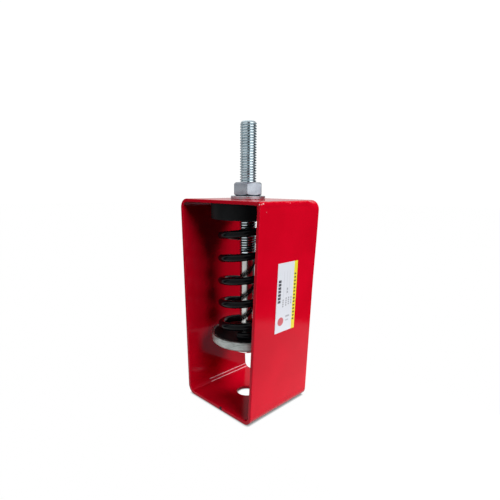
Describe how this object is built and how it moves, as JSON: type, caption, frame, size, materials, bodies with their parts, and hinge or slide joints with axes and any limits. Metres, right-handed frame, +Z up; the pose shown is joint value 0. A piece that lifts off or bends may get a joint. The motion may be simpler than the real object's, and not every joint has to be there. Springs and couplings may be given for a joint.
{
  "type": "hanging spring vibration isolator",
  "caption": "Folded steel frame hung on a threaded bolt through a coil spring, with a rubber upper cup, a pressed lower seat and a hole for a lower rod.",
  "frame": {"origin": "on the bolt's axis at the underside of the frame's bottom plate", "axes": "+Z up along the bolt towards its free end, +X across the folded frame towards the wall with the label, +Y through the open back"},
  "size_m": [0.0668, 0.05, 0.1699],
  "materials": {
    "red_paint": "glossy",
    "rubber": "matte",
    "spring_black": "glossy",
    "zinc": "satin",
    "label": "satin"
  },
  "bodies": {
    "frame": {"box_frame": "red_paint", "upper_cup": "rubber", "coil_spring": "spring_black", "top_washer": "zinc", "rating_label": "label"},
    "seat": {"seat_cup": "zinc", "seat_pad": "rubber"},
    "bolt": {"hanger_bolt": "zinc", "top_nut": "zinc"}
  },
  "joints": [
    {"name": "spring_travel", "type": "slide", "parent": "frame", "child": "seat", "axis": [0, 0, 1], "range_m": [0, 0.025], "stiffness_N_per_m": 26000, "deforming": ["coil_spring"]},
    {"name": "bolt_turn", "type": "hinge", "parent": "seat", "child": "bolt", "pos_m": [0, 0, 0.037], "axis": [0, 0, 1], "continuous": true}
  ]
}
